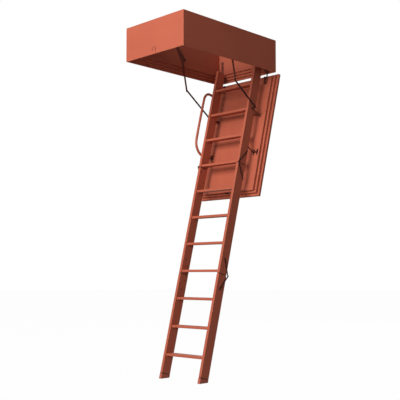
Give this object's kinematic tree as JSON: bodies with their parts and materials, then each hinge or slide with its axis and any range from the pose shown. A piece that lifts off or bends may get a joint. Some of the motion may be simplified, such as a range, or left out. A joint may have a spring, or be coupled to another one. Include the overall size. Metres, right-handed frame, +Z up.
{
  "type": "attic ladder",
  "caption": "Folding wooden attic ladder in a casing with insulated hatch, folding arms, handrail and level treads, opened for climbing.",
  "frame": {"origin": "centre of the casing bottom plane, at the ceiling", "axes": "+Z up, +Y towards the hinged end of the casing, +X to the right of a person who faces the ladder to climb it"},
  "size_m": [0.7, 1.226, 2.988],
  "materials": {
    "casing_paint": "satin terracotta paint on softwood boards",
    "hatch_paint": "satin terracotta paint on sandwich panel",
    "ladder_paint": "satin terracotta paint on hardwood",
    "handrail_paint": "terracotta powder coat",
    "dark_steel": "dark red-brown enamel",
    "shoe_plastic": "moulded terracotta plastic"
  },
  "bodies": {
    "casing": {"casing_left_board": "casing_paint", "casing_right_board": "casing_paint", "casing_foot_board": "casing_paint", "casing_hinge_board": "casing_paint", "strike_plate": "dark_steel", "hinge_strap_left": "dark_steel", "hinge_strap_right": "dark_steel", "arm_bracket_left": "dark_steel", "arm_bracket_right": "dark_steel"},
    "hatch": {"hatch_cover": "hatch_paint", "hatch_core": "hatch_paint", "hatch_inner_panel": "hatch_paint", "lock_front_plate": "dark_steel", "hatch_leaf_left": "dark_steel", "hatch_leaf_right": "dark_steel"},
    "latch": {"latch_bolt": "dark_steel"},
    "upper_section": {"upper_stringer_left": "ladder_paint", "upper_stringer_right": "ladder_paint", "tread_01": "ladder_paint", "tread_02": "ladder_paint", "tread_03": "ladder_paint", "tread_04": "ladder_paint", "first_fold_leaf_above_left": "dark_steel", "first_fold_leaf_above_right": "dark_steel", "upper_bracket_left": "dark_steel", "upper_bracket_right": "dark_steel", "lower_bracket_left": "dark_steel", "lower_bracket_right": "dark_steel", "handrail": "handrail_paint", "handrail_spacer_top": "dark_steel", "handrail_spacer_bottom": "dark_steel", "rod_end_pin_left": "dark_steel", "rod_end_pin_right": "dark_steel"},
    "middle_section": {"middle_stringer_left": "ladder_paint", "middle_stringer_right": "ladder_paint", "tread_05": "ladder_paint", "tread_06": "ladder_paint", "tread_07": "ladder_paint", "tread_08": "ladder_paint", "first_fold_leaf_below_left": "dark_steel", "first_fold_leaf_below_right": "dark_steel", "second_fold_leaf_above_left": "dark_steel", "second_fold_leaf_above_right": "dark_steel"},
    "lower_section": {"lower_stringer_left": "ladder_paint", "lower_stringer_right": "ladder_paint", "tread_09": "ladder_paint", "tread_10": "ladder_paint", "tread_11": "ladder_paint", "second_fold_leaf_below_left": "dark_steel", "second_fold_leaf_below_right": "dark_steel", "shoe_left": "shoe_plastic", "shoe_right": "shoe_plastic"},
    "hinge_link_left": {"hinge_link_left": "dark_steel"},
    "hinge_link_right": {"hinge_link_right": "dark_steel"},
    "lever_left": {"lever_left": "dark_steel"},
    "lever_right": {"lever_right": "dark_steel"},
    "rod_left": {"rod_left": "dark_steel"},
    "rod_right": {"rod_right": "dark_steel"}
  },
  "joints": [
    {"name": "hatch_swing", "type": "hinge", "parent": "casing", "child": "hatch", "pos_m": [0, 0.604, 0.0246], "axis": [-1, 0, 0], "range_deg": [0, 64]},
    {"name": "ladder_slide", "type": "slide", "parent": "hatch", "child": "upper_section", "axis": [0, -0.2504, -0.9681], "range_m": [0, 0.103]},
    {"name": "fold_upper", "type": "hinge", "parent": "upper_section", "child": "middle_section", "pos_m": [0, 0.1902, -0.836], "axis": [-1, 0, 0], "range_deg": [0, 180]},
    {"name": "fold_lower", "type": "hinge", "parent": "middle_section", "child": "lower_section", "pos_m": [0, 0.0495, -1.8273], "axis": [-1, 0, 0], "range_deg": [-180, 0]},
    {"name": "latch_slide", "type": "slide", "parent": "hatch", "child": "latch", "axis": [0, 0.2504, 0.9681], "range_m": [0, 0.009]},
    {"name": "link_turn_left", "type": "hinge", "parent": "casing", "child": "hinge_link_left", "pos_m": [0, 0.556, 0.018], "axis": [-1, 0, 0], "range_deg": [0, 126]},
    {"name": "lever_turn_left", "type": "hinge", "parent": "casing", "child": "lever_left", "pos_m": [0, 0.032, 0.141], "axis": [-1, 0, 0], "range_deg": [0, 97]},
    {"name": "elbow_turn_left", "type": "hinge", "parent": "lever_left", "child": "rod_left", "pos_m": [0, 0.093, -0.146], "axis": [-1, 0, 0], "range_deg": [-128, 0]},
    {"name": "link_turn_right", "type": "hinge", "parent": "casing", "child": "hinge_link_right", "pos_m": [0, 0.556, 0.018], "axis": [-1, 0, 0], "range_deg": [0, 126]},
    {"name": "lever_turn_right", "type": "hinge", "parent": "casing", "child": "lever_right", "pos_m": [0, 0.032, 0.141], "axis": [-1, 0, 0], "range_deg": [0, 97]},
    {"name": "elbow_turn_right", "type": "hinge", "parent": "lever_right", "child": "rod_right", "pos_m": [0, 0.093, -0.146], "axis": [-1, 0, 0], "range_deg": [-128, 0]}
  ],
  "couplings": [
    {"joint": "ladder_slide", "follows": "hatch_swing", "m_per_rad": 0.0911},
    {"joint": "fold_lower", "follows": "fold_upper", "ratio": -1},
    {"joint": "link_turn_left", "follows": "hatch_swing", "ratio": 1.938},
    {"joint": "lever_turn_left", "follows": "hatch_swing", "ratio": 1.4957},
    {"joint": "elbow_turn_left", "follows": "hatch_swing", "ratio": -1.976},
    {"joint": "link_turn_right", "follows": "hatch_swing", "ratio": 1.938},
    {"joint": "lever_turn_right", "follows": "hatch_swing", "ratio": 1.4957},
    {"joint": "elbow_turn_right", "follows": "hatch_swing", "ratio": -1.976}
  ]
}
